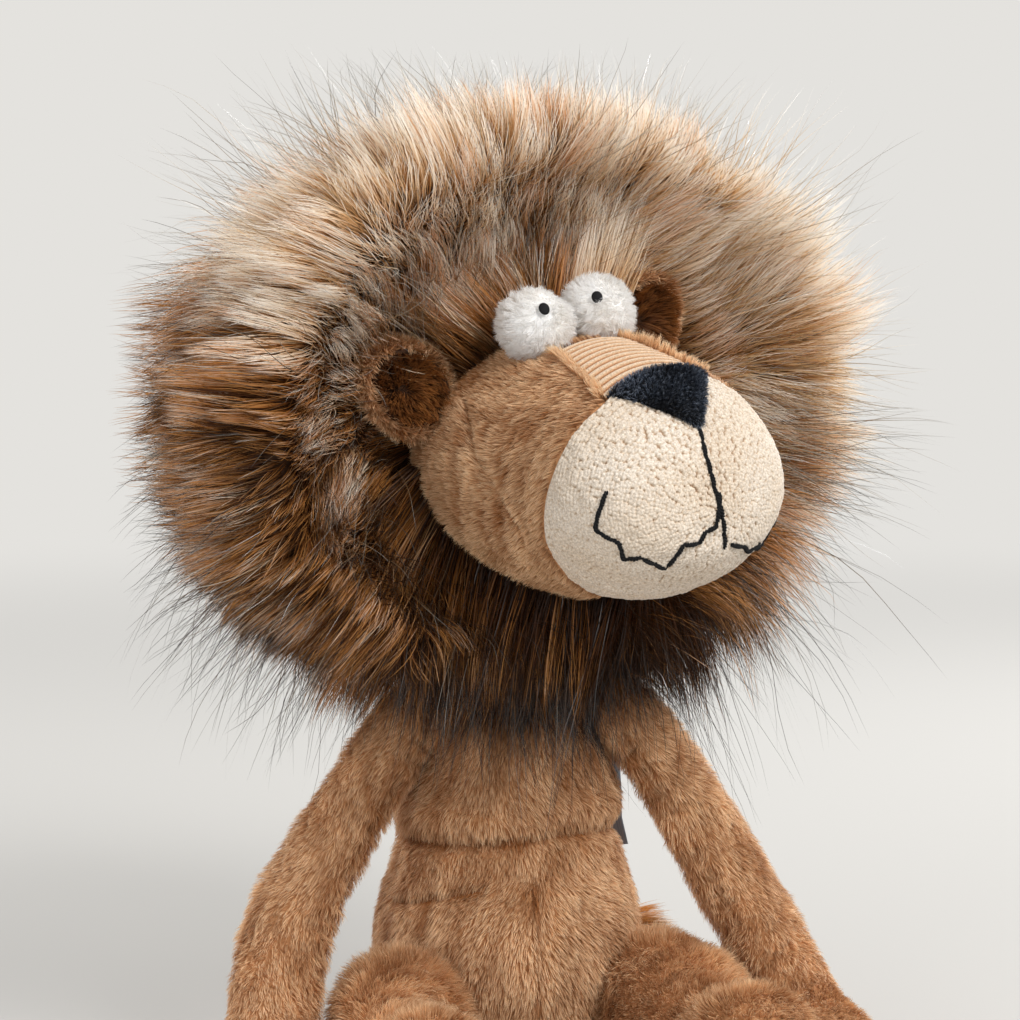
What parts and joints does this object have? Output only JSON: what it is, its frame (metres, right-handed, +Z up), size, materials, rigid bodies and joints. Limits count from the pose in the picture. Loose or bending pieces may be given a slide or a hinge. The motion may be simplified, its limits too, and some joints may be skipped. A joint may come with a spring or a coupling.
{
  "type": "plush lion",
  "caption": "Seated plush lion with a long-pile mane, a stitched face, ribbed nose bridge, floppy arms and legs, and a tufted tail.",
  "frame": {"origin": "middle of the flat seat, on the surface that the lion sits on", "axes": "+Z up, -Y the way the torso faces, +X to the lion's own left"},
  "size_m": [0.3097, 0.2886, 0.4136],
  "materials": {
    "short_plush": "short pile plush, tan",
    "long_pile": "long pile faux fur, golden brown",
    "terry": "cream terry",
    "corduroy": "peach corduroy",
    "black_plush": "black short pile",
    "white_plush": "white fuzzy pile",
    "ear_lining": "dark brown pile",
    "black_thread": "black embroidery thread",
    "fibre_filling": "polyester fibre",
    "pellet_pouch": "cotton pouch with pellets",
    "satin_ribbon": "glossy satin, bare"
  },
  "bodies": {
    "torso": {"torso_cover": "short_plush", "torso_stuffing": "fibre_filling", "seat_pellet_pouch": "pellet_pouch", "care_label": "satin_ribbon"},
    "neck": {"neck_cover": "short_plush", "neck_stuffing": "fibre_filling"},
    "head": {"head_cover": "short_plush", "head_stuffing": "fibre_filling", "muzzle_panel": "terry", "nose_bridge_panel": "corduroy", "nose": "black_plush", "eye_left": "white_plush", "eye_right": "white_plush", "pupil_left": "black_thread", "pupil_right": "black_thread", "philtrum_stitch": "black_thread", "mouth_stitch_left": "black_thread", "mouth_stitch_right": "black_thread", "ear_back_left": "short_plush", "ear_back_right": "short_plush", "ear_lining_left": "ear_lining", "ear_lining_right": "ear_lining", "mane_crown": "long_pile", "mane_left": "long_pile", "mane_right": "long_pile", "mane_back": "long_pile", "mane_throat": "long_pile"},
    "arm_left": {"arm_left_cover": "short_plush", "arm_left_stuffing": "fibre_filling"},
    "arm_right": {"arm_right_cover": "short_plush", "arm_right_stuffing": "fibre_filling"},
    "leg_left": {"leg_left_cover": "short_plush", "leg_left_stuffing": "fibre_filling"},
    "leg_right": {"leg_right_cover": "short_plush", "leg_right_stuffing": "fibre_filling"},
    "tail": {"tail_cover": "short_plush", "tail_tuft": "long_pile"}
  },
  "joints": [
    {"name": "neck_turn", "type": "hinge", "parent": "torso", "child": "neck", "pos_m": [0, 0, 0.197], "axis": [0, 0, 1], "range_deg": [-57, 23]},
    {"name": "head_nod", "type": "hinge", "parent": "neck", "child": "head", "pos_m": [0, 0, 0.197], "axis": [0.9563, 0.2924, 0], "range_deg": [-12, 12]},
    {"name": "arm_left_swing", "type": "hinge", "parent": "torso", "child": "arm_left", "pos_m": [0.04483, -0.014, 0.1496], "axis": [-1, 0, 0], "range_deg": [-15, 60]},
    {"name": "arm_right_swing", "type": "hinge", "parent": "torso", "child": "arm_right", "pos_m": [-0.04483, -0.014, 0.1496], "axis": [-1, 0, 0], "range_deg": [-15, 60]},
    {"name": "leg_left_swing", "type": "hinge", "parent": "torso", "child": "leg_left", "pos_m": [0.05544, -0.0365, 0.0265], "axis": [-1, 0, 0], "range_deg": [-20, 30]},
    {"name": "leg_right_swing", "type": "hinge", "parent": "torso", "child": "leg_right", "pos_m": [-0.05544, -0.0365, 0.0265], "axis": [-1, 0, 0], "range_deg": [-20, 30]},
    {"name": "tail_swing", "type": "hinge", "parent": "torso", "child": "tail", "pos_m": [0, 0.05425, 0.019], "axis": [0, 0, 1], "range_deg": [-30, 30]}
  ]
}
